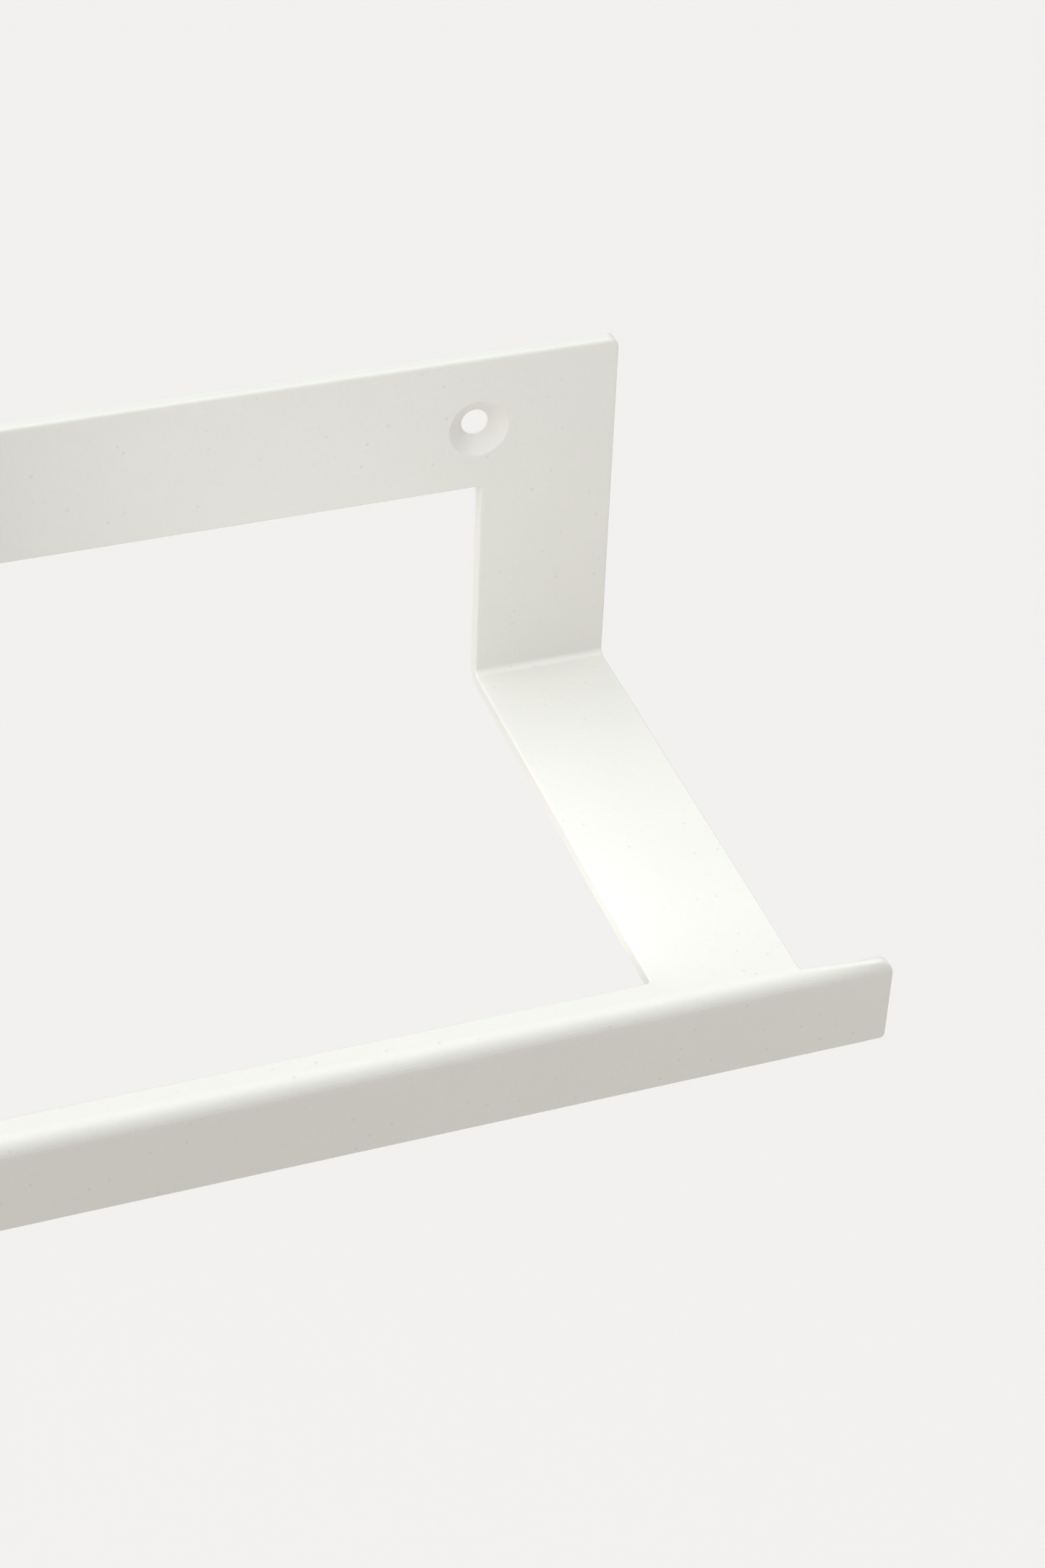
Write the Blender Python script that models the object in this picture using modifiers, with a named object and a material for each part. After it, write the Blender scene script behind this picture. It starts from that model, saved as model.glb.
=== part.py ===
"""Wall shelf with brackets: an open frame of white powder-coated strip steel.

A flat back rail is screwed to the wall. Two bent brackets drop from its ends and reach forward,
and a folded front rail joins their tips and runs on past them as two short ears.

+X runs along the wall, +Z is up and the front faces -Y. The origin is the middle of the back
rail's wall face. All sizes are in metres.

Run it with: blender --background --python part.py
"""

import math

import bpy
import bmesh
from mathutils import Vector

# Strip steel
STRIP_THICKNESS = 0.0028
WELD_GAP = 0.0003

# Overall size
OVERALL_LENGTH = 0.500
OVERALL_DEPTH = 0.1012
EAR_LENGTH = 0.0165
SHELF_DROP = 0.0683

# Back rail and its countersunk screw holes
BACK_RAIL_HEIGHT = 0.0266
BACK_CORNER_RADIUS = 0.0018
HOLE_FROM_END = 0.026
HOLE_BELOW_TOP = 0.0143
HOLE_RADIUS = 0.0025
HOLE_LAND = 0.0004
COUNTERSINK_RADIUS = 0.0056

# Brackets
BRACKET_WIDTH = 0.0254
LEG_INNER_BEND = 0.0012

# Front rail
FLANGE_DEPTH = 0.0069
LIP_HEIGHT = 0.018
LIP_INNER_BEND = 0.0003
EAR_TOP_RADIUS = 0.003
EAR_BOTTOM_RADIUS = 0.001

# Fineness of the round shapes
ARC_STEPS = 8
HOLE_STEPS = 40
SMOOTH_BELOW = math.radians(30)

# How far a cutter reaches past what it cuts, and the distance at which points merge
CUTTER_MARGIN = 0.001
MERGE_DISTANCE = 0.000001

# Places that follow from the sizes
LEG_OUTER_BEND = LEG_INNER_BEND + STRIP_THICKNESS
LIP_OUTER_BEND = LIP_INNER_BEND + STRIP_THICKNESS
FRAME_HALF = OVERALL_LENGTH / 2 - EAR_LENGTH
BRACKET_CENTRE = FRAME_HALF - BRACKET_WIDTH / 2
RAIL_TOP = BACK_RAIL_HEIGHT / 2
RAIL_BOTTOM = -BACK_RAIL_HEIGHT / 2
HOLE_CENTRE_X = FRAME_HALF - HOLE_FROM_END
HOLE_CENTRE_Z = RAIL_TOP - HOLE_BELOW_TOP
SHELF_TOP = RAIL_TOP - SHELF_DROP
SHELF_UNDERSIDE = SHELF_TOP - STRIP_THICKNESS
FRONT = -OVERALL_DEPTH
FLANGE_BACK = FRONT + FLANGE_DEPTH
LIP_BOTTOM = SHELF_TOP - LIP_HEIGHT

# Turns that stand an x, y drawing up: facing the front, or as a section across the wall
FACING_FRONT = (math.pi / 2, 0, 0)
ACROSS_WALL = (math.pi / 2, 0, math.pi / 2)

# Powder coat
COAT_COLOUR = (0.80, 0.79, 0.75, 1.0)
COAT_ROUGHNESS = 0.42
COAT_METALLIC = 0.0


def clear_scene():
    for obj in list(bpy.data.objects):
        bpy.data.objects.remove(obj)


def new_collection(name):
    collection = bpy.data.collections.new(name)
    bpy.context.scene.collection.children.link(collection)
    return collection


def powder_coat(name):
    material = bpy.data.materials.new(name)
    material.use_nodes = True
    shader = material.node_tree.nodes["Principled BSDF"]
    shader.inputs["Base Color"].default_value = COAT_COLOUR
    shader.inputs["Roughness"].default_value = COAT_ROUGHNESS
    shader.inputs["Metallic"].default_value = COAT_METALLIC
    return material


def rounded_outline(corners):
    """Points of a closed outline of square corners, each (x, y, radius). A radius of 0 is sharp."""
    points = []
    for index, (x, y, radius) in enumerate(corners):
        corner = Vector((x, y))
        if radius == 0:
            points.append(corner)
            continue
        before = (Vector(corners[index - 1][:2]) - corner).normalized()
        after = (Vector(corners[(index + 1) % len(corners)][:2]) - corner).normalized()
        centre = corner + (before + after) * radius
        for step in range(ARC_STEPS + 1):
            angle = math.pi / 2 * step / ARC_STEPS
            spoke = after * math.cos(angle) + before * math.sin(angle)
            points.append(centre - spoke * radius)
    return points


def weld_caps(mesh):
    """Joins a filled curve's loose caps to its sides."""
    shape = bmesh.new()
    shape.from_mesh(mesh)
    bmesh.ops.remove_doubles(shape, verts=shape.verts, dist=MERGE_DISTANCE)
    bmesh.ops.recalc_face_normals(shape, faces=shape.faces)
    shape.to_mesh(mesh)
    shape.free()


def shade_bends(mesh):
    mesh.shade_smooth()
    mesh.set_sharp_from_angle(angle=SMOOTH_BELOW)


def extruded(name, corners, thickness, turn, collection, location=(0, 0, 0)):
    """A closed solid: the outline, turned to face the right way, made this thick about location."""
    outline = rounded_outline(corners)
    curve = bpy.data.curves.new(name, "CURVE")
    curve.dimensions = "2D"
    curve.fill_mode = "BOTH"
    curve.extrude = thickness / 2
    spline = curve.splines.new("POLY")
    spline.points.add(len(outline) - 1)
    for point, (x, y) in zip(spline.points, outline):
        point.co = (x, y, 0, 1)
    spline.use_cyclic_u = True
    drawing = bpy.data.objects.new(name + "_drawing", curve)
    drawing.location = location
    drawing.rotation_euler = turn
    collection.objects.link(drawing)
    bpy.context.view_layer.update()
    evaluated = drawing.evaluated_get(bpy.context.evaluated_depsgraph_get())
    mesh = bpy.data.meshes.new_from_object(evaluated)
    mesh.name = name
    weld_caps(mesh)
    shade_bends(mesh)
    solid = bpy.data.objects.new(name, mesh)
    solid.matrix_world = drawing.matrix_world
    collection.objects.link(solid)
    bpy.data.objects.remove(drawing)
    return solid


def as_cutter(obj):
    obj.hide_render = True
    obj.display_type = "WIRE"
    return obj


def boolean(target, operation, cutter):
    modifier = target.modifiers.new(cutter.name, "BOOLEAN")
    modifier.operation = operation
    modifier.solver = "EXACT"
    modifier.object = cutter


def screw_hole_cutter(name, centre_x, cutters):
    """A turned cutter: a short straight land at the wall, then a cone that opens to the front."""
    cone_depth = STRIP_THICKNESS - HOLE_LAND
    slope = (COUNTERSINK_RADIUS - HOLE_RADIUS) / cone_depth
    mouth_radius = COUNTERSINK_RADIUS + slope * CUTTER_MARGIN
    profile = [
        (0, STRIP_THICKNESS + CUTTER_MARGIN),
        (mouth_radius, STRIP_THICKNESS + CUTTER_MARGIN),
        (HOLE_RADIUS, HOLE_LAND),
        (HOLE_RADIUS, -CUTTER_MARGIN),
        (0, -CUTTER_MARGIN),
    ]
    mesh = bpy.data.meshes.new(name)
    points = [(radius, 0, height) for radius, height in profile]
    edges = [(index, index + 1) for index in range(len(points) - 1)]
    mesh.from_pydata(points, edges, [])
    cutter = as_cutter(bpy.data.objects.new(name, mesh))
    cutter.location = (centre_x, 0, HOLE_CENTRE_Z)
    cutter.rotation_euler = FACING_FRONT
    cutters.objects.link(cutter)
    turned = cutter.modifiers.new("Turned", "SCREW")
    turned.steps = HOLE_STEPS
    turned.render_steps = HOLE_STEPS
    turned.use_merge_vertices = True
    turned.merge_threshold = MERGE_DISTANCE
    return cutter


def notch_cutter(name, side, cutters):
    """A block that takes the flange off one ear, back to the line where the fold starts."""
    low = Vector((FRAME_HALF, FRONT + LIP_OUTER_BEND, SHELF_UNDERSIDE - CUTTER_MARGIN))
    high = Vector((OVERALL_LENGTH / 2, FLANGE_BACK, SHELF_TOP))
    high += Vector((CUTTER_MARGIN, CUTTER_MARGIN, CUTTER_MARGIN))
    shape = bmesh.new()
    bmesh.ops.create_cube(shape, size=1)
    bmesh.ops.scale(shape, verts=shape.verts, vec=high - low)
    mesh = bpy.data.meshes.new(name)
    shape.to_mesh(mesh)
    shape.free()
    cutter = as_cutter(bpy.data.objects.new(name, mesh))
    middle = (low + high) / 2
    cutter.location = (side * middle.x, middle.y, middle.z)
    cutters.objects.link(cutter)
    return cutter


def build_back_rail(collection, cutters):
    corners = [
        (-FRAME_HALF, RAIL_BOTTOM, 0),
        (FRAME_HALF, RAIL_BOTTOM, 0),
        (FRAME_HALF, RAIL_TOP, BACK_CORNER_RADIUS),
        (-FRAME_HALF, RAIL_TOP, BACK_CORNER_RADIUS),
    ]
    middle = (0, -STRIP_THICKNESS / 2, 0)
    rail = extruded("back_rail", corners, STRIP_THICKNESS, FACING_FRONT, collection, middle)
    for label, side in (("left", -1), ("right", 1)):
        cutter = screw_hole_cutter("screw_hole_" + label, side * HOLE_CENTRE_X, cutters)
        boolean(rail, "DIFFERENCE", cutter)
    return rail


def build_bracket(name, side, collection):
    """A leg that drops down the wall and folds forward into a level arm, seen in section."""
    leg_top = RAIL_BOTTOM - WELD_GAP
    arm_tip = FLANGE_BACK + WELD_GAP
    corners = [
        (0, leg_top, 0),
        (-STRIP_THICKNESS, leg_top, 0),
        (-STRIP_THICKNESS, SHELF_TOP, LEG_INNER_BEND),
        (arm_tip, SHELF_TOP, 0),
        (arm_tip, SHELF_UNDERSIDE, 0),
        (0, SHELF_UNDERSIDE, LEG_OUTER_BEND),
    ]
    middle = (side * BRACKET_CENTRE, 0, 0)
    return extruded(name, corners, BRACKET_WIDTH, ACROSS_WALL, collection, middle)


def build_front_rail(collection, cutters):
    """A narrow level flange folded down into a lip. Past the brackets only the fold and lip go on."""
    section = [
        (FLANGE_BACK, SHELF_TOP, 0),
        (FRONT, SHELF_TOP, LIP_OUTER_BEND),
        (FRONT, LIP_BOTTOM, 0),
        (FRONT + STRIP_THICKNESS, LIP_BOTTOM, 0),
        (FRONT + STRIP_THICKNESS, SHELF_UNDERSIDE, LIP_INNER_BEND),
        (FLANGE_BACK, SHELF_UNDERSIDE, 0),
    ]
    rail = extruded("front_rail", section, OVERALL_LENGTH, ACROSS_WALL, collection)
    half = OVERALL_LENGTH / 2
    front_view = [
        (-half, LIP_BOTTOM, EAR_BOTTOM_RADIUS),
        (half, LIP_BOTTOM, EAR_BOTTOM_RADIUS),
        (half, SHELF_TOP, EAR_TOP_RADIUS),
        (-half, SHELF_TOP, EAR_TOP_RADIUS),
    ]
    middle = (0, FRONT + FLANGE_DEPTH / 2, 0)
    reach = FLANGE_DEPTH + 2 * CUTTER_MARGIN
    ends = as_cutter(extruded("rounded_ends", front_view, reach, FACING_FRONT, cutters, middle))
    boolean(rail, "INTERSECT", ends)
    for label, side in (("left", -1), ("right", 1)):
        boolean(rail, "DIFFERENCE", notch_cutter("ear_notch_" + label, side, cutters))
    return rail


def main():
    clear_scene()
    shelf = new_collection("wall_shelf_with_brackets")
    cutters = new_collection("cutters")
    strips = [
        build_back_rail(shelf, cutters),
        build_bracket("bracket_left", -1, shelf),
        build_bracket("bracket_right", 1, shelf),
        build_front_rail(shelf, cutters),
    ]
    for strip in strips:
        strip.data.materials.clear()
        strip.data.materials.append(powder_coat(strip.name + "_powder_coat"))


main()
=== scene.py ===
"""The looks of the wall shelf: white powder-coated steel strip, soft-edged, in soft studio light.

The four strips are shaped together as one flat blank, folded as a press would fold it, and then
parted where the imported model's strips meet, so that edges and coat run on across the welds.
"""
import math

import bmesh
import bpy
from mathutils import Matrix, Vector


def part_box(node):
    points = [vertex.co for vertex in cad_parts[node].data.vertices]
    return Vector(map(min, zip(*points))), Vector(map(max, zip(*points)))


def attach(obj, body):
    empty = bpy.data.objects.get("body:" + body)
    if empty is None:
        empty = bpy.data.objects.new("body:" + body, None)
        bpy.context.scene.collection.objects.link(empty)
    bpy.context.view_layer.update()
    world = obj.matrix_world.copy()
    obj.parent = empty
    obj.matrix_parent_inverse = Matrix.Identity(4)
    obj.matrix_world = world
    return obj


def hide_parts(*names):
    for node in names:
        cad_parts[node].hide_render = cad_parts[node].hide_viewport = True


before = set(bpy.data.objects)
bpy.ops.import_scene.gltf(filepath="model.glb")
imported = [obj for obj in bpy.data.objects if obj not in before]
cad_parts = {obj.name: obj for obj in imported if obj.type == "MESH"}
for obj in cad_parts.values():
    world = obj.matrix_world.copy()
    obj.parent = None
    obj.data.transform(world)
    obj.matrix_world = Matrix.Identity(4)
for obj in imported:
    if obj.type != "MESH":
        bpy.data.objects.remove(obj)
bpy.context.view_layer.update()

# Sizes read from the frame. All sizes and places are in metres.
RAIL_LOW, RAIL_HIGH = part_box("back_rail")
WINDOW_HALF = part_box("bracket_right")[0].x
FRONT_LOW, FRONT_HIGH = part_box("front_rail")
THICKNESS = RAIL_HIGH.y - RAIL_LOW.y
RAIL_TOP = RAIL_HIGH.z
RAIL_HEIGHT = RAIL_HIGH.z - RAIL_LOW.z
FRAME_HALF = RAIL_HIGH.x
EAR_END = FRONT_HIGH.x
SHELF_TOP = FRONT_HIGH.z
LIP_BOTTOM = FRONT_LOW.z
FRONT = FRONT_LOW.y
FLANGE_BACK = FRONT_HIGH.y

# Sizes that the frame's boxes don't give
LEG_INNER_BEND = 0.0012
LEG_OUTER_BEND = LEG_INNER_BEND + THICKNESS
LEG_NEUTRAL_BEND = LEG_INNER_BEND + THICKNESS / 2
LIP_INNER_BEND = 0.0003
LIP_OUTER_BEND = LIP_INNER_BEND + THICKNESS
LIP_NEUTRAL_BEND = LIP_INNER_BEND + THICKNESS / 2
BACK_CORNER = 0.0018
EAR_TOP_CORNER = 0.003
EAR_BOTTOM_CORNER = 0.001
INNER_CORNER = 0.0005
HOLE_FROM_END = 0.026
HOLE_BELOW_TOP = 0.0143
HOLE_RADIUS = 0.0025
HOLE_LAND = 0.0004
COUNTERSINK_RADIUS = 0.0056

# How far the ears have straightened by their ends, from 0, fully folded, to 1, straight
EAR_SLACK = 0.85

# Every cut edge is rounded, most where it faces up and least where it faces down or out.
# An edge is a cut edge if its faces meet at more than CUT_ANGLE.
SOFT_EDGE = 0.0008
INNER_EDGE = 0.0004
CRISP_EDGE = 0.0003
CUT_ANGLE = math.radians(50)

# Roundings of the screw holes: at the countersink's mouth, in its throat and at the wall
MOUTH_RADIUS = 0.0006
THROAT_RADIUS = 0.0003
BACK_MOUTH_RADIUS = 0.0002

# A cutter's roundings end CUTTER_SKIM off the steel's faces, and it reaches CUTTER_MARGIN past them
CUTTER_SKIM = 0.00002
CUTTER_MARGIN = 0.001

# Fineness of the round shapes, and the distance at which points merge
CORNER_STEPS = 10
WINDOW_CORNER_STEPS = 6
EDGE_STEPS = 6
HOLE_EDGE_STEPS = 5
HOLE_STEPS = 96
LEG_BEND_SLICES = 10
LIP_BEND_SLICES = 14
EAR_SLICES = 8
SMOOTH_BELOW = math.radians(35)
MERGE_DISTANCE = 0.000001

# The coat's colours
COAT_COLOUR = (0.726, 0.700, 0.645, 1)
MOTTLED_COLOUR = (0.716, 0.690, 0.635, 1)
GRAIN_COLOUR = (0.695, 0.669, 0.615, 1)
EDGE_COLOUR = (0.70, 0.676, 0.623, 1)
SPECK_COLOUR = (0.64, 0.61, 0.55, 1)

# The coat's noises, each as its lumps to a metre and its detail
MOTTLE_NOISE = (35, 3)
GRAIN_NOISE = (1300, 2)
THINNING_NOISE = (180, 2)
SATIN_NOISE = (260, 3)
PEEL_NOISE = (750, 1)
GRIT_NOISE = (3200, 2)

# The span of each noise that is stretched over its whole effect, and how strong the grain gets
MOTTLE_SPAN = (0.35, 0.65)
GRAIN_SPAN = (0.45, 0.75)
SATIN_SPAN = (0.3, 0.7)
GRAIN_STRENGTH = 0.5

# Dust specks, one to a cell: cells to a metre, where in its cell a speck fades out, and the share
# of cells left bare
SPECK_CELLS = 320
SPECK_RIM = (0.03, 0.13)
SPECK_RARITY = 0.25

# The coat's gloss and relief
SATIN_ROUGHNESS = (0.41, 0.49)
EDGE_POLISH = 0.06
PEEL_HEIGHT = 0.00003
GRIT_HEIGHT = 0.000004
SPECK_HEIGHT = 0.00001

# The Mix node's colour sockets share their names with others, so they go by number
MIX_FACTOR, MIX_UNDER, MIX_OVER, MIX_RESULT = 0, 6, 7, 2

# The camera: close on the right-hand end, from the front left and above. Its place is given from
# the wall end of the right-hand arm's outer top edge, and its lens and sensor in millimetres.
CAMERA_OFFSET = Vector((-0.18966, -0.46508, 0.35334))
CAMERA_RIGHT = Vector((0.9434, -0.3301, 0.03193))
CAMERA_DOWN = Vector((-0.17817, -0.58567, -0.79072))
CAMERA_AHEAD = Vector((0.27972, 0.74028, -0.61134))
CAMERA_LENS = 73.67214
CAMERA_SENSOR = 36
NEAREST_SEEN = 0.01
FURTHEST_SEEN = 50

# The studio
FLOOR_HALF = 9.0
FLOOR_HEIGHT = -1.2
FLOOR_COLOUR = (0.805, 0.765, 0.735, 1)
SKY_STRENGTH = 0.36
WHITE = (1.0, 1.0, 1.0)
COOL = (0.93, 1.0, 1.05)
# Each sun's name, the direction it comes from, strength and colour. All are equally broad.
SUNS = [
    ("from_left", (-1, 0, 0.05), 1.62, WHITE),
    ("from_behind", (-0.33, 0.62, 0.72), 0.56, COOL),
    ("from_front", (0, -0.7, 0.7), 0.20, WHITE),
    ("from_right", (0.7, 0, 0.7), 0.08, WHITE),
    ("overhead", (0, 0, 1), 1.64, COOL),
]
SUN_WIDTH = math.radians(60)
# Each softbox's name, place, the place it faces, watts, length along the wall and depth
MID_DEPTH = FRONT / 2
MIDDLE_SOFTBOX = ("over_shelf", (0, -0.11, 0.165), (0, MID_DEPTH, SHELF_TOP), 0.16, 0.6, 0.15)
# The same for those that stand in pairs, given for the right-hand end
PAIRED_SOFTBOXES = [
    ("by_bracket", (0.334, -0.15, 0.095), (FRAME_HALF, MID_DEPTH, SHELF_TOP), 0.061, 0.15, 0.15),
    ("inside", (0.168, -0.08, -0.036), (0.205, 0, -0.025), 0.0155, 0.06, 0.03),
]

# Distances along the blank, from the back rail's top edge down the leg and out along the arm
QUARTER = math.pi / 2
LEG_FOLD = RAIL_TOP - SHELF_TOP - LEG_INNER_BEND
ARM_START = LEG_FOLD + QUARTER * LEG_NEUTRAL_BEND
LIP_FOLD = ARM_START - (FRONT + LIP_OUTER_BEND) - LEG_OUTER_BEND
LIP_START = LIP_FOLD + QUARTER * LIP_NEUTRAL_BEND
BLANK_END = LIP_START + (SHELF_TOP - LIP_OUTER_BEND) - LIP_BOTTOM
WINDOW_END = ARM_START - FLANGE_BACK - LEG_OUTER_BEND

# The blank's two directions, as axis numbers
ALONG_WALL, DOWN_BLANK = 0, 1

# The strips part just clear of the window's corner rounds
UPPER_PARTING = RAIL_HEIGHT + INNER_CORNER
LOWER_PARTING = WINDOW_END - INNER_CORNER


def arc_points(centre, start, end, steps):
    """Points on the shorter arc from start to end about centre, both ends included."""
    first = start - centre
    turn = math.atan2(first.cross(end - centre), first.dot(end - centre))
    points = []
    for step in range(steps + 1):
        angle = turn * step / steps
        turned = Matrix.Rotation(angle, 2) @ first
        points.append(centre + turned)
    return points


def rounded_path(corners, steps, closed=True):
    """Points of a path whose corners are (x, y, radius). A radius of 0 leaves a corner sharp."""
    points = []
    for index, (x, y, radius) in enumerate(corners):
        corner = Vector((x, y))
        is_end = not closed and index in (0, len(corners) - 1)
        if radius == 0 or is_end:
            points.append(corner)
            continue
        before = (Vector(corners[index - 1][:2]) - corner).normalized()
        after = (Vector(corners[(index + 1) % len(corners)][:2]) - corner).normalized()
        half = before.angle(after) / 2
        centre = corner + (before + after).normalized() * (radius / math.sin(half))
        reach = radius / math.tan(half)
        points += arc_points(centre, corner + before * reach, corner + after * reach, steps)
    return points


def blank_outlines():
    """The flat blank's outer edge and its window, with y running down the blank from 0."""
    side = [
        (FRAME_HALF, 0, BACK_CORNER),
        (FRAME_HALF, -LIP_FOLD, INNER_CORNER),
        (EAR_END, -LIP_FOLD, EAR_TOP_CORNER),
        (EAR_END, -BLANK_END, EAR_BOTTOM_CORNER),
    ]
    other_side = [(-x, y, radius) for x, y, radius in reversed(side)]
    window = [
        (WINDOW_HALF, -RAIL_HEIGHT, INNER_CORNER),
        (WINDOW_HALF, -WINDOW_END, INNER_CORNER),
        (-WINDOW_HALF, -WINDOW_END, INNER_CORNER),
        (-WINDOW_HALF, -RAIL_HEIGHT, INNER_CORNER),
    ]
    outer = rounded_path(side + other_side, CORNER_STEPS)
    return outer, rounded_path(window, WINDOW_CORNER_STEPS)


def apply_modifiers(obj):
    """Puts the result of an object's modifiers in place of its mesh."""
    bpy.context.view_layer.update()
    evaluated = obj.evaluated_get(bpy.context.evaluated_depsgraph_get())
    mesh = bpy.data.meshes.new_from_object(evaluated)
    obj.modifiers.clear()
    obj.data = mesh


def flat_blank():
    """The blank as a flat sheet: x along the wall, y down the blank, z through the thickness."""
    curve = bpy.data.curves.new("blank", "CURVE")
    curve.dimensions = "2D"
    curve.fill_mode = "BOTH"
    curve.extrude = THICKNESS / 2
    for outline in blank_outlines():
        spline = curve.splines.new("POLY")
        spline.points.add(len(outline) - 1)
        for point, (x, y) in zip(spline.points, outline):
            point.co = (x, y, 0, 1)
        spline.use_cyclic_u = True
    drawing = bpy.data.objects.new("drawing", curve)
    bpy.context.scene.collection.objects.link(drawing)
    bpy.context.view_layer.update()
    evaluated = drawing.evaluated_get(bpy.context.evaluated_depsgraph_get())
    mesh = bpy.data.meshes.new_from_object(evaluated)
    bpy.data.objects.remove(drawing)
    shape = bmesh.new()
    shape.from_mesh(mesh)
    bmesh.ops.remove_doubles(shape, verts=shape.verts, dist=MERGE_DISTANCE)
    bmesh.ops.translate(shape, verts=shape.verts, vec=(0, 0, THICKNESS / 2))
    bmesh.ops.recalc_face_normals(shape, faces=shape.faces)
    shape.to_mesh(mesh)
    shape.free()
    blank = bpy.data.objects.new("blank", mesh)
    bpy.context.scene.collection.objects.link(blank)
    return blank


def edge_radius(edge):
    """How round a cut edge of the blank is. The back's edges are all crisp."""
    place = (edge.verts[0].co + edge.verts[1].co) / 2
    if place.z < THICKNESS / 2:
        return CRISP_EDGE
    cut = min(edge.link_faces, key=lambda face: abs(face.normal.z))
    upward = max(0.0, cut.normal.y)
    inward = max(0.0, -cut.normal.x * math.copysign(1, place.x))
    return CRISP_EDGE + (SOFT_EDGE - CRISP_EDGE) * upward + (INNER_EDGE - CRISP_EDGE) * inward


def soften_edges(blank):
    """Rounds every cut edge, as punching and the coat do."""
    shape = bmesh.new()
    shape.from_mesh(blank.data)
    weights = shape.edges.layers.float.new("bevel_weight_edge")
    for edge in shape.edges:
        if edge.calc_face_angle(0) > CUT_ANGLE:
            edge[weights] = edge_radius(edge) / SOFT_EDGE
    shape.to_mesh(blank.data)
    shape.free()
    rounding = blank.modifiers.new("edges", "BEVEL")
    rounding.width = SOFT_EDGE
    rounding.segments = EDGE_STEPS
    rounding.limit_method = "WEIGHT"
    rounding.use_clamp_overlap = False
    rounding.loop_slide = False
    apply_modifiers(blank)


def hole_cutter(side):
    """A turned cutter with a straight land, a cone and soft edges where the coat rounds them."""
    face, back = THICKNESS + CUTTER_SKIM, -CUTTER_SKIM
    profile = rounded_path([
        (2 * COUNTERSINK_RADIUS, face, 0),
        (COUNTERSINK_RADIUS, face, MOUTH_RADIUS),
        (HOLE_RADIUS, HOLE_LAND, THROAT_RADIUS),
        (HOLE_RADIUS, back, BACK_MOUTH_RADIUS),
        (2 * COUNTERSINK_RADIUS, back, 0),
    ], HOLE_EDGE_STEPS, closed=False)
    profile[0] = Vector((profile[1].x, face + CUTTER_MARGIN))
    profile[-1] = Vector((profile[-2].x, back - CUTTER_MARGIN))
    points = [(0, profile[0].y)] + [tuple(point) for point in profile] + [(0, profile[-1].y)]
    mesh = bpy.data.meshes.new("hole_cutter")
    mesh.from_pydata(
        [(radius, 0, height) for radius, height in points],
        [(index, index + 1) for index in range(len(points) - 1)],
        [],
    )
    cutter = bpy.data.objects.new("hole_cutter", mesh)
    cutter.location = (side * (FRAME_HALF - HOLE_FROM_END), -HOLE_BELOW_TOP, 0)
    bpy.context.scene.collection.objects.link(cutter)
    turned = cutter.modifiers.new("turned", "SCREW")
    turned.steps = HOLE_STEPS
    turned.render_steps = HOLE_STEPS
    turned.use_merge_vertices = True
    turned.merge_threshold = MERGE_DISTANCE
    apply_modifiers(cutter)
    return cutter


def cut_holes(blank):
    cutters = [hole_cutter(side) for side in (-1, 1)]
    for cutter in cutters:
        cut = blank.modifiers.new("hole", "BOOLEAN")
        cut.operation = "DIFFERENCE"
        cut.solver = "EXACT"
        cut.object = cutter
    apply_modifiers(blank)
    for cutter in cutters:
        bpy.data.objects.remove(cutter)


def slice_across(shape, axis, places):
    """Adds edge loops to the sheet where it will bend."""
    normal = Vector((0, 0, 0))
    normal[axis] = 1
    for place in places:
        point = normal * place
        geometry = list(shape.verts) + list(shape.edges) + list(shape.faces)
        bmesh.ops.bisect_plane(
            shape, geom=geometry, dist=MERGE_DISTANCE, plane_co=point, plane_no=normal
        )


def spread(first, last, count):
    """Evenly spaced places that part a length into this many, both ends included."""
    return [first + (last - first) * step / count for step in range(count + 1)]


def mark_edges(sheet):
    """Stores how near each point is to a rounded edge's crest: 1 on it, 0 on faces and in holes."""
    marks = sheet.verts.layers.float.new("edge")
    sheet.normal_update()
    for vertex in sheet.verts:
        hole_x = math.copysign(FRAME_HALF - HOLE_FROM_END, vertex.co.x)
        from_hole = (vertex.co.xy - Vector((hole_x, -HOLE_BELOW_TOP))).length
        from_face = min(vertex.co.z, THICKNESS - vertex.co.z)
        if from_hole > COUNTERSINK_RADIUS and from_face > CUTTER_SKIM:
            tilt = math.acos(min(abs(vertex.normal.z), 1.0))
            vertex[marks] = math.sin(2 * tilt)


def fold(point):
    """Where a point of the flat blank goes: down the leg, round the fold, out and down the lip."""
    x, along, depth = point.x, -point.y, point.z
    if along <= LEG_FOLD:
        return Vector((x, -depth, RAIL_TOP - along))
    if along <= ARM_START:
        angle = (along - LEG_FOLD) / LEG_NEUTRAL_BEND
        radius = LEG_OUTER_BEND - depth
        y = -LEG_OUTER_BEND + radius * math.cos(angle)
        return Vector((x, y, SHELF_TOP + LEG_INNER_BEND - radius * math.sin(angle)))
    fold_bottom = SHELF_TOP - LIP_OUTER_BEND
    straight = Vector((x, FRONT + THICKNESS - depth, fold_bottom - (along - LIP_START)))
    if along >= LIP_START:
        return straight
    if along <= LIP_FOLD:
        y = -LEG_OUTER_BEND - (along - ARM_START)
        folded = Vector((x, y, SHELF_TOP - THICKNESS + depth))
    else:
        angle = (along - LIP_FOLD) / LIP_NEUTRAL_BEND
        radius = LIP_INNER_BEND + depth
        y = FRONT + LIP_OUTER_BEND - radius * math.sin(angle)
        folded = Vector((x, y, fold_bottom + radius * math.cos(angle)))
    # past the bracket nothing pulls the ear round the fold, so it straightens towards its end
    past_bracket = max(0.0, (abs(x) - FRAME_HALF) / (EAR_END - FRAME_HALF))
    return folded.lerp(straight, EAR_SLACK * past_bracket)


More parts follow.
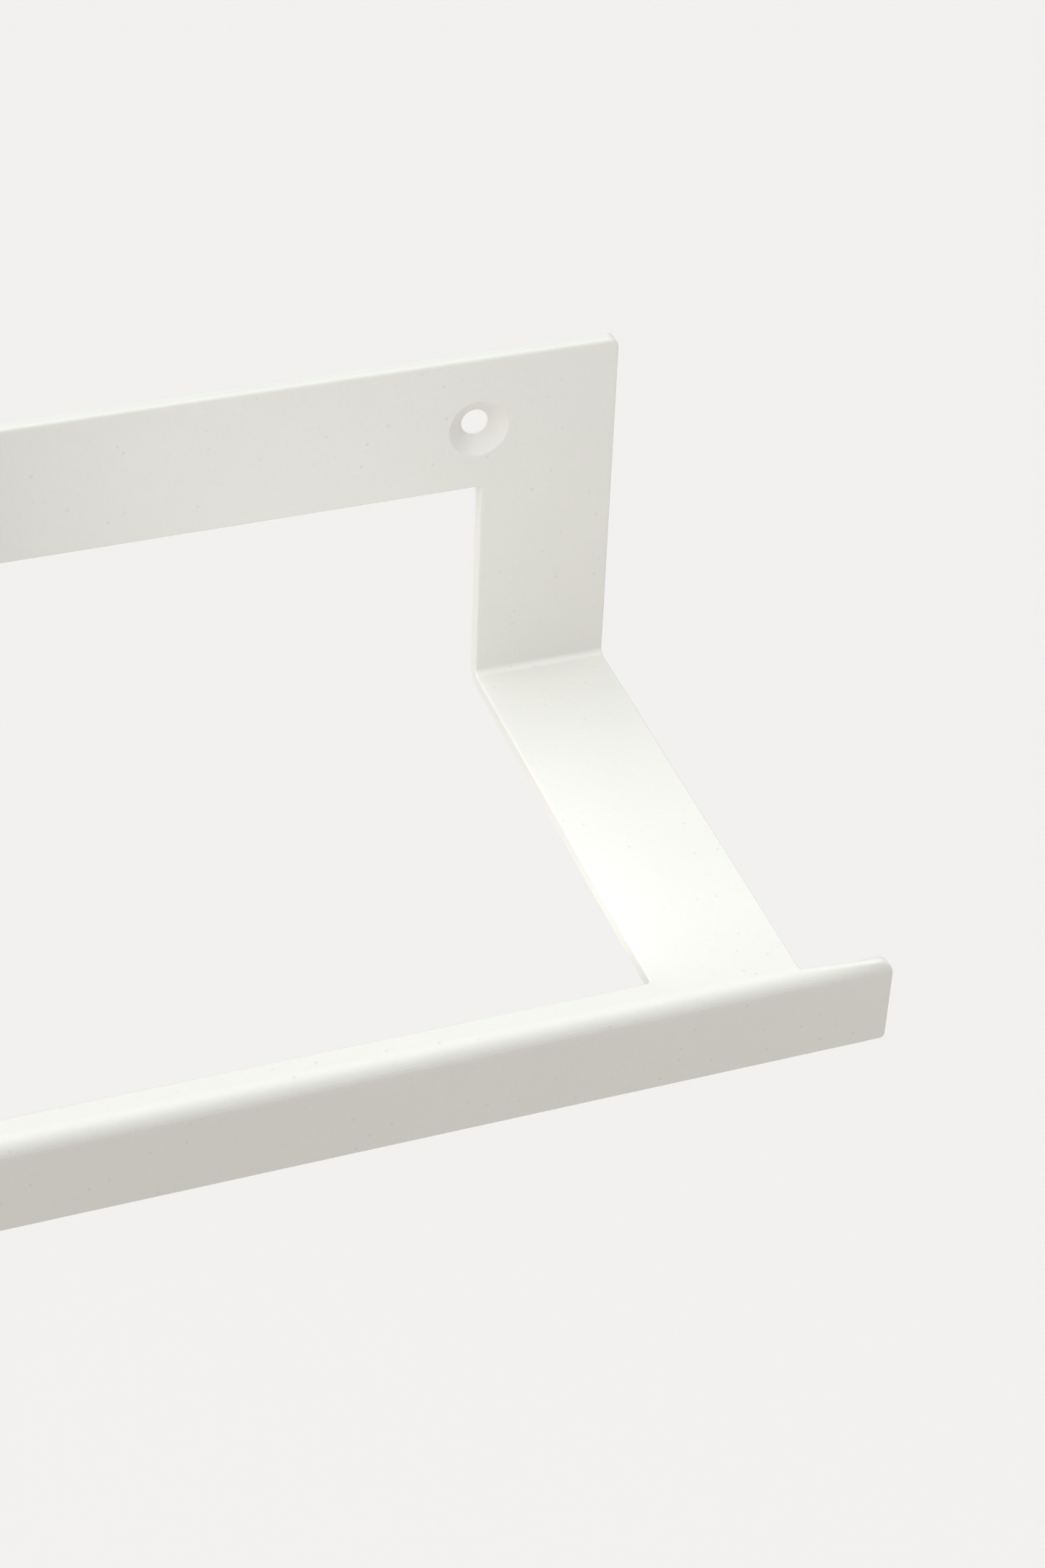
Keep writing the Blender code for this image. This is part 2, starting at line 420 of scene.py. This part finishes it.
def strip(node, sheet, partings):
    """One strip, which stands for a CAD node: the sheet cut back along its partings and folded.

    Each parting is a place and the direction in which the sheet is cut off there.
    """
    name = node + "_coated"
    piece = sheet.copy()
    for place, normal in partings:
        geometry = list(piece.verts) + list(piece.edges) + list(piece.faces)
        cut = bmesh.ops.bisect_plane(
            piece,
            geom=geometry,
            dist=MERGE_DISTANCE,
            plane_co=place,
            plane_no=normal,
            clear_outer=True,
        )
        rim = [item for item in cut["geom_cut"] if isinstance(item, bmesh.types.BMEdge)]
        bmesh.ops.triangle_fill(piece, edges=rim, use_beauty=True, use_dissolve=False)
    for vertex in piece.verts:
        vertex.co = fold(vertex.co)
    bmesh.ops.recalc_face_normals(piece, faces=piece.faces)
    mesh = bpy.data.meshes.new(name)
    piece.to_mesh(mesh)
    piece.free()
    mesh.shade_smooth()
    mesh.set_sharp_from_angle(angle=SMOOTH_BELOW)
    obj = bpy.data.objects.new(name, mesh)
    bpy.context.scene.collection.objects.link(obj)
    weighted = obj.modifiers.new("normals", "WEIGHTED_NORMAL")
    weighted.keep_sharp = True
    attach(obj, "root")
    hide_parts(node)
    return obj


def build_strips():
    """All four strips, shaped as one sheet."""
    blank = flat_blank()
    cut_holes(blank)
    soften_edges(blank)
    sheet = bmesh.new()
    sheet.from_mesh(blank.data)
    bpy.data.objects.remove(blank)
    mark_edges(sheet)
    slice_across(sheet, DOWN_BLANK, spread(-LEG_FOLD, -ARM_START, LEG_BEND_SLICES))
    slice_across(sheet, DOWN_BLANK, spread(-LIP_FOLD, -LIP_START, LIP_BEND_SLICES))
    for side in (-1, 1):
        # nothing is left to slice at the ear's end itself
        places = spread(side * FRAME_HALF, side * EAR_END, EAR_SLICES)[:-1]
        slice_across(sheet, ALONG_WALL, places)
    bmesh.ops.dissolve_degenerate(sheet, edges=sheet.edges, dist=MERGE_DISTANCE)

    down, up = Vector((0, -1, 0)), Vector((0, 1, 0))
    left, right = Vector((-1, 0, 0)), Vector((1, 0, 0))
    middle = Vector((0, 0, 0))
    upper = Vector((0, -UPPER_PARTING, 0))
    lower = Vector((0, -LOWER_PARTING, 0))
    strips = [
        strip("back_rail", sheet, [(upper, down)]),
        strip("bracket_left", sheet, [(upper, up), (lower, down), (middle, right)]),
        strip("bracket_right", sheet, [(upper, up), (lower, down), (middle, left)]),
        strip("front_rail", sheet, [(lower, up)]),
    ]
    sheet.free()
    return strips


def noise(tree, lumps, detail):
    """Smooth noise around 0.5, with about the given number of lumps to a metre."""
    node = tree.nodes.new("ShaderNodeTexNoise")
    node.inputs["Scale"].default_value = lumps
    node.inputs["Detail"].default_value = detail
    tree.links.new(tree.nodes["Places"].outputs["Object"], node.inputs["Vector"])
    return node.outputs["Fac"]


def remapped(tree, value, from_range, to_range):
    """Stretches one range of a value over another, and clamps what lies outside."""
    node = tree.nodes.new("ShaderNodeMapRange")
    node.inputs["From Min"].default_value, node.inputs["From Max"].default_value = from_range
    node.inputs["To Min"].default_value, node.inputs["To Max"].default_value = to_range
    tree.links.new(value, node.inputs["Value"])
    return node.outputs["Result"]


def calculated(tree, operation, first, second):
    """A Math node. The second value may be a socket or a plain number."""
    node = tree.nodes.new("ShaderNodeMath")
    node.operation = operation
    tree.links.new(first, node.inputs[0])
    if isinstance(second, (int, float)):
        node.inputs[1].default_value = second
    else:
        tree.links.new(second, node.inputs[1])
    return node.outputs["Value"]


def tinted(tree, factor, under, colour):
    """Goes from under, a colour or a socket, to colour as the factor goes from 0 to 1."""
    node = tree.nodes.new("ShaderNodeMix")
    node.data_type = "RGBA"
    tree.links.new(factor, node.inputs[MIX_FACTOR])
    if isinstance(under, tuple):
        node.inputs[MIX_UNDER].default_value = under
    else:
        tree.links.new(under, node.inputs[MIX_UNDER])
    node.inputs[MIX_OVER].default_value = colour
    return node.outputs[MIX_RESULT]


def dust_specks(tree):
    """1 inside the tiny specks that dust leaves in the coat, and 0 everywhere else."""
    cells = tree.nodes.new("ShaderNodeTexVoronoi")
    cells.inputs["Scale"].default_value = SPECK_CELLS
    tree.links.new(tree.nodes["Places"].outputs["Object"], cells.inputs["Vector"])
    inside = remapped(tree, cells.outputs["Distance"], SPECK_RIM, (1, 0))
    draw = tree.nodes.new("ShaderNodeSeparateColor")
    tree.links.new(cells.outputs["Color"], draw.inputs["Color"])
    chosen = calculated(tree, "GREATER_THAN", draw.outputs["Red"], SPECK_RARITY)
    return calculated(tree, "MULTIPLY", inside, chosen)


def bumped(tree, height, distance, under=None):
    """Relief of this height in metres, on top of the relief under it."""
    node = tree.nodes.new("ShaderNodeBump")
    node.inputs["Strength"].default_value = 1.0
    node.inputs["Distance"].default_value = distance
    tree.links.new(height, node.inputs["Height"])
    if under:
        tree.links.new(under, node.inputs["Normal"])
    return node.outputs["Normal"]


def powder_coat():
    """Satin powder coat: fine orange peel, faint mottling, dust specks, and thinner on the edges."""
    material = bpy.data.materials.new("powder_coat_white")
    material.use_nodes = True
    tree = material.node_tree
    shader = tree.nodes["Principled BSDF"]
    tree.nodes.new("ShaderNodeTexCoord").name = "Places"
    edges = tree.nodes.new("ShaderNodeAttribute")
    edges.attribute_name = "edge"

    mottle = remapped(tree, noise(tree, *MOTTLE_NOISE), MOTTLE_SPAN, (0, 1))
    colour = tinted(tree, mottle, COAT_COLOUR, MOTTLED_COLOUR)
    grain = remapped(tree, noise(tree, *GRAIN_NOISE), GRAIN_SPAN, (0, GRAIN_STRENGTH))
    colour = tinted(tree, grain, colour, GRAIN_COLOUR)
    thinning = calculated(tree, "MULTIPLY", edges.outputs["Fac"], noise(tree, *THINNING_NOISE))
    colour = tinted(tree, thinning, colour, EDGE_COLOUR)
    specks = dust_specks(tree)
    colour = tinted(tree, specks, colour, SPECK_COLOUR)
    tree.links.new(colour, shader.inputs["Base Color"])

    satin = remapped(tree, noise(tree, *SATIN_NOISE), SATIN_SPAN, SATIN_ROUGHNESS)
    polish = calculated(tree, "MULTIPLY", edges.outputs["Fac"], EDGE_POLISH)
    roughness = calculated(tree, "SUBTRACT", satin, polish)
    tree.links.new(roughness, shader.inputs["Roughness"])

    peel = bumped(tree, noise(tree, *PEEL_NOISE), PEEL_HEIGHT)
    grit = bumped(tree, noise(tree, *GRIT_NOISE), GRIT_HEIGHT, peel)
    tree.links.new(bumped(tree, specks, SPECK_HEIGHT, grit), shader.inputs["Normal"])
    return material


def pale_floor(height):
    """A plain floor well below the part, too far down for its shadow to show."""
    mesh = bpy.data.meshes.new("floor")
    shape = bmesh.new()
    bmesh.ops.create_grid(shape, x_segments=1, y_segments=1, size=FLOOR_HALF)
    shape.to_mesh(mesh)
    shape.free()
    floor = bpy.data.objects.new("floor", mesh)
    floor.location.z = height
    bpy.context.scene.collection.objects.link(floor)
    paint = bpy.data.materials.new("floor_paint")
    paint.use_nodes = True
    shader = paint.node_tree.nodes["Principled BSDF"]
    shader.inputs["Base Color"].default_value = FLOOR_COLOUR
    shader.inputs["Roughness"].default_value = 1.0
    shader.inputs["Specular IOR Level"].default_value = 0.0
    mesh.materials.append(paint)


def even_sky(strength):
    """The same soft light from every side."""
    world = bpy.data.worlds.new("studio")
    world.use_nodes = True
    background = world.node_tree.nodes["Background"]
    background.inputs["Color"].default_value = (1, 1, 1, 1)
    background.inputs["Strength"].default_value = strength
    bpy.context.scene.world = world


def hang_light(name, light, place, towards):
    """A lamp at a place, aimed at another, that the camera doesn't see."""
    lamp = bpy.data.objects.new(name, light)
    lamp.location = place
    lamp.rotation_euler = (towards - place).to_track_quat("-Z", "Y").to_euler()
    lamp.visible_camera = False
    bpy.context.scene.collection.objects.link(lamp)


def soft_sun(name, offset, strength, colour):
    """A broad distant light that comes from the offset's direction."""
    sun = bpy.data.lights.new(name, "SUN")
    sun.energy = strength
    sun.angle = SUN_WIDTH
    sun.color = colour
    hang_light(name, sun, Vector(offset), Vector((0, 0, 0)))


def softbox(name, place, facing, watts, length, depth):
    """A diffuser near the shelf."""
    diffuser = bpy.data.lights.new(name, "AREA")
    diffuser.shape = "RECTANGLE"
    diffuser.size = length
    diffuser.size_y = depth
    diffuser.energy = watts
    diffuser.color = COOL
    hang_light(name, diffuser, Vector(place), Vector(facing))


def softbox_pair(name, place, facing, *output):
    """Two softboxes, one for each end of the shelf, given for the right-hand end."""
    for end, side in (("left", -1), ("right", 1)):
        flip = Vector((side, 1, 1))
        softbox(f"{name}_{end}", flip * Vector(place), flip * Vector(facing), *output)


def camera():
    """The scene's camera, from its place and its three axes."""
    data = bpy.data.cameras.new("camera")
    data.sensor_width = CAMERA_SENSOR
    data.lens = CAMERA_LENS
    data.clip_start = NEAREST_SEEN
    data.clip_end = FURTHEST_SEEN
    view = bpy.data.objects.new("camera", data)
    bpy.context.scene.collection.objects.link(view)
    axes = Matrix((CAMERA_RIGHT, -CAMERA_DOWN, -CAMERA_AHEAD)).transposed()
    view.matrix_world = axes.to_4x4()
    view.location = Vector((FRAME_HALF, 0, SHELF_TOP)) + CAMERA_OFFSET
    bpy.context.scene.camera = view


coat = powder_coat()
for piece in build_strips():
    piece.data.materials.clear()
    piece.data.materials.append(coat)
camera()
pale_floor(FLOOR_HEIGHT)
even_sky(SKY_STRENGTH)
for sun in SUNS:
    soft_sun(*sun)
softbox(*MIDDLE_SOFTBOX)
for pair in PAIRED_SOFTBOXES:
    softbox_pair(*pair)
bpy.context.scene.view_settings.view_transform = "Standard"
